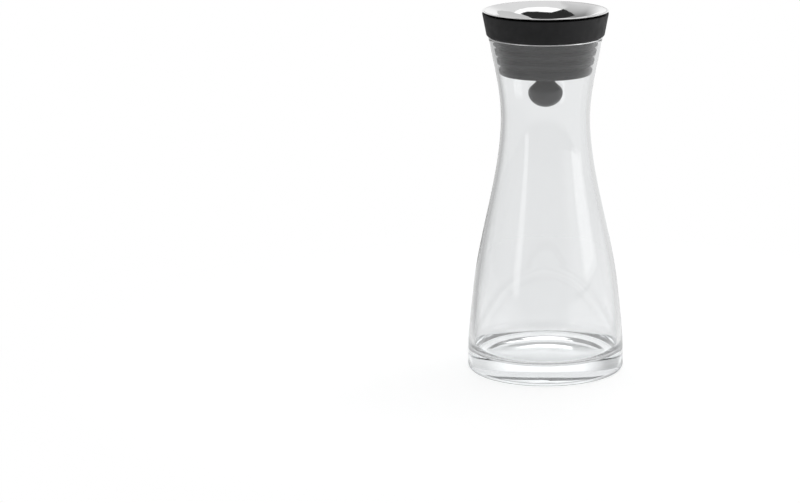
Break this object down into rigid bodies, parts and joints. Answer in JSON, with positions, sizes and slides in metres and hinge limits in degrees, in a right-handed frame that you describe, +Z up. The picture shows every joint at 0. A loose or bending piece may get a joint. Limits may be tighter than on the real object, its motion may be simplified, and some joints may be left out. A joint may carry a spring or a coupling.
{
  "type": "water carafe",
  "caption": "Waisted clear glass carafe with a heavy foot and a black silicone stopper, whose dished steel lid tips open when the carafe is poured.",
  "frame": {"origin": "centre of the foot, on the table", "axes": "+Z up along the carafe's own axis, +X towards the side on which the lid opens"},
  "size_m": [0.125, 0.125, 0.2906],
  "materials": {
    "glass": "clear, fire-polished",
    "silicone": "matte black silicone",
    "plastic": "black moulded plastic",
    "steel": "polished stainless steel"
  },
  "bodies": {
    "carafe": {"carafe_glass": "glass"},
    "stopper": {"sealing_sleeve": "silicone", "pour_insert": "plastic"},
    "lid": {"steel_lid": "steel", "lid_carrier": "plastic", "lid_seal": "silicone", "pendulum_stem": "plastic", "pendulum_knob": "silicone", "knob_weight": "steel"}
  },
  "joints": [
    {"name": "stopper_lift", "type": "slide", "parent": "carafe", "child": "stopper", "axis": [0, 0, 1], "range_m": [0, 0.09]},
    {"name": "lid_tilt", "type": "hinge", "parent": "stopper", "child": "lid", "pos_m": [-0.0495, 0, 0.2884], "axis": [0, -1, 0], "range_deg": [0, 9]}
  ]
}
